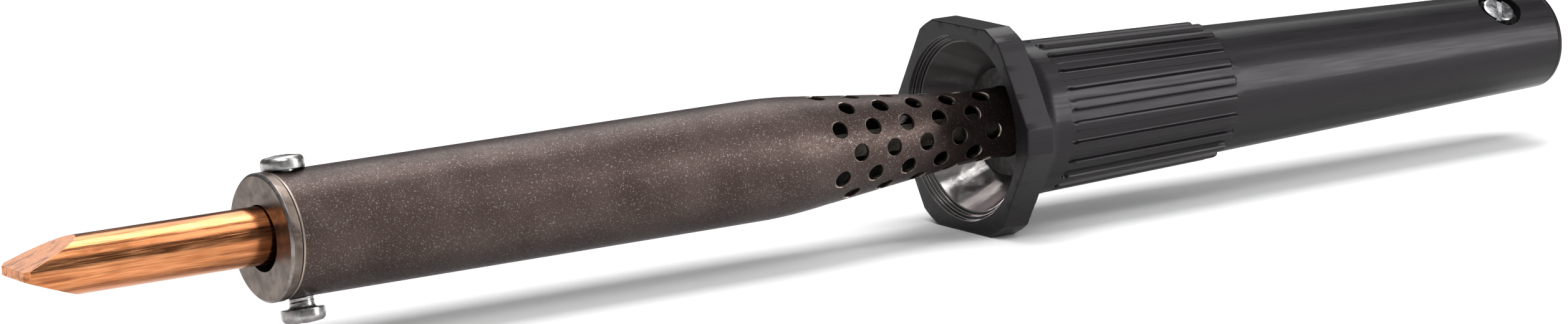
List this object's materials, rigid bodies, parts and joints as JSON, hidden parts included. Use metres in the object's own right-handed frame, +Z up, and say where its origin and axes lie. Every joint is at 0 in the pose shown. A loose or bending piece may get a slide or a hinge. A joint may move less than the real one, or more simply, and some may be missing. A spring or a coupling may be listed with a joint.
{
  "type": "soldering iron",
  "caption": "Mains soldering iron with a copper chisel bit, a perforated steel casing and a moulded handle with a hexagonal guard.",
  "frame": {"origin": "centre of the cord inlet's mouth, at the handle's rear end", "axes": "+X along the iron from the bit towards the cord, +Z up, square to the guard flat that it rests on"},
  "size_m": [0.301, 0.0384, 0.0352],
  "materials": {
    "bit_copper": "brushed copper with heat streaks",
    "screw_zinc": "worn bright zinc",
    "plug_steel": "dull machined steel",
    "casing_steel": "heat-browned steel with a fine speckle",
    "bare_steel": "plain",
    "ceramic": "unglazed ceramic",
    "mica": "mica sheet",
    "resistance_wire": "drawn wire",
    "glass_sleeving": "woven glass fibre",
    "ferrule_steel": "grey satin",
    "gasket_fibre": "pressed fibre",
    "handle_black": "satin black moulding",
    "block_moulding": "moulded brown",
    "brass": "plain brass",
    "small_screws": "bright",
    "cord_screw_steel": "worn bright steel",
    "clamp_fibre": "pressed fibre"
  },
  "bodies": {
    "iron_body": {"front_plug": "plug_steel", "casing": "casing_steel", "bit_sleeve": "bare_steel", "heater_jacket": "bare_steel", "front_ring": "ceramic", "end_disc": "ceramic", "inner_mica": "mica", "outer_mica": "mica", "heating_coil": "resistance_wire", "lead_wires": "resistance_wire", "lead_sleeves": "glass_sleeving", "neck_ferrule": "ferrule_steel", "ferrule_gasket": "gasket_fibre", "handle": "handle_black", "terminal_block": "block_moulding", "terminal_clamps": "brass", "terminal_screws": "small_screws"},
    "bit": {"bit": "bit_copper"},
    "bit_screw": {"bit_screw": "screw_zinc"},
    "casing_screw": {"casing_screw": "screw_zinc"},
    "cord_screw": {"cord_screw": "cord_screw_steel"},
    "cord_clamp": {"cord_clamp": "clamp_fibre"}
  },
  "joints": [
    {"name": "bit_slide", "type": "slide", "parent": "iron_body", "child": "bit", "axis": [-1, 0, 0], "range_m": [-0.013, 0.066]},
    {"name": "bit_screw_slide", "type": "slide", "parent": "iron_body", "child": "bit_screw", "axis": [0, -0.1908, -0.9816], "range_m": [0, 0.005]},
    {"name": "casing_screw_slide", "type": "slide", "parent": "iron_body", "child": "casing_screw", "axis": [0, 0.1908, 0.9816], "range_m": [0, 0.004]},
    {"name": "cord_screw_slide", "type": "slide", "parent": "iron_body", "child": "cord_screw", "axis": [0, -0.5446, 0.8387], "range_m": [0, 0.0025]},
    {"name": "cord_clamp_slide", "type": "slide", "parent": "iron_body", "child": "cord_clamp", "axis": [0, -0.5446, 0.8387], "range_m": [0, 0.0025]}
  ],
  "couplings": [
    {"joint": "cord_clamp_slide", "follows": "cord_screw_slide", "ratio": 1}
  ]
}
